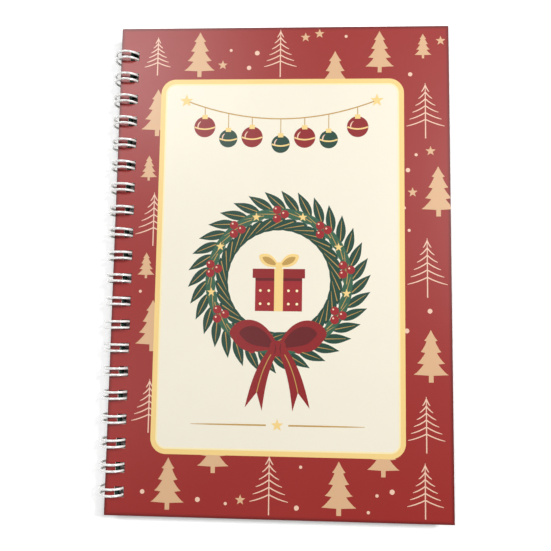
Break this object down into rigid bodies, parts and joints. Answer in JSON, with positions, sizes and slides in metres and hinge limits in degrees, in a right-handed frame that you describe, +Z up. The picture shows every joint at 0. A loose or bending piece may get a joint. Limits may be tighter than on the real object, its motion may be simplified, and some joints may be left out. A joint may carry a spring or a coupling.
{
  "type": "gift card book",
  "caption": "Wire-bound book that holds gift cards: printed board covers and pocketed leaves turning on a double-loop wire spine.",
  "frame": {"origin": "bottom centre of the closed book's box, on the surface it lies on", "axes": "+X from the wire spine to the fore-edge, +Y to the head of the covers, +Z up out of the front cover"},
  "size_m": [0.126, 0.18, 0.01],
  "materials": {
    "binding_wire": "satin",
    "cover_board": "satin",
    "leaf_paper": "matte",
    "upper_pocket_paper": "matte",
    "lower_pocket_paper": "matte"
  },
  "bodies": {
    "binding": {"binding_wire": "binding_wire", "back_cover": "cover_board"},
    "leaf_5": {"leaf_5": "leaf_paper", "upper_pocket_5": "upper_pocket_paper", "lower_pocket_5": "lower_pocket_paper"},
    "leaf_4": {"leaf_4": "leaf_paper", "upper_pocket_4": "upper_pocket_paper", "lower_pocket_4": "lower_pocket_paper"},
    "leaf_3": {"leaf_3": "leaf_paper", "upper_pocket_3": "upper_pocket_paper", "lower_pocket_3": "lower_pocket_paper"},
    "leaf_2": {"leaf_2": "leaf_paper", "upper_pocket_2": "upper_pocket_paper", "lower_pocket_2": "lower_pocket_paper"},
    "leaf_1": {"leaf_1": "leaf_paper", "upper_pocket_1": "upper_pocket_paper", "lower_pocket_1": "lower_pocket_paper"},
    "front_cover": {"front_cover": "cover_board"}
  },
  "joints": [
    {"name": "leaf_5_turn", "type": "hinge", "parent": "binding", "child": "leaf_5", "pos_m": [-0.0587, 0, 0.00501], "axis": [0, -1, 0], "range_deg": [0, 180]},
    {"name": "leaf_4_turn", "type": "hinge", "parent": "leaf_5", "child": "leaf_4", "pos_m": [-0.0587, 0, 0.00501], "axis": [0, -1, 0], "range_deg": [0, 180]},
    {"name": "leaf_3_turn", "type": "hinge", "parent": "leaf_4", "child": "leaf_3", "pos_m": [-0.0587, 0, 0.00501], "axis": [0, -1, 0], "range_deg": [0, 180]},
    {"name": "leaf_2_turn", "type": "hinge", "parent": "leaf_3", "child": "leaf_2", "pos_m": [-0.0587, 0, 0.00501], "axis": [0, -1, 0], "range_deg": [0, 180]},
    {"name": "leaf_1_turn", "type": "hinge", "parent": "leaf_2", "child": "leaf_1", "pos_m": [-0.0587, 0, 0.00501], "axis": [0, -1, 0], "range_deg": [0, 180]},
    {"name": "front_cover_turn", "type": "hinge", "parent": "leaf_1", "child": "front_cover", "pos_m": [-0.0587, 0, 0.00501], "axis": [0, -1, 0], "range_deg": [0, 180]}
  ]
}
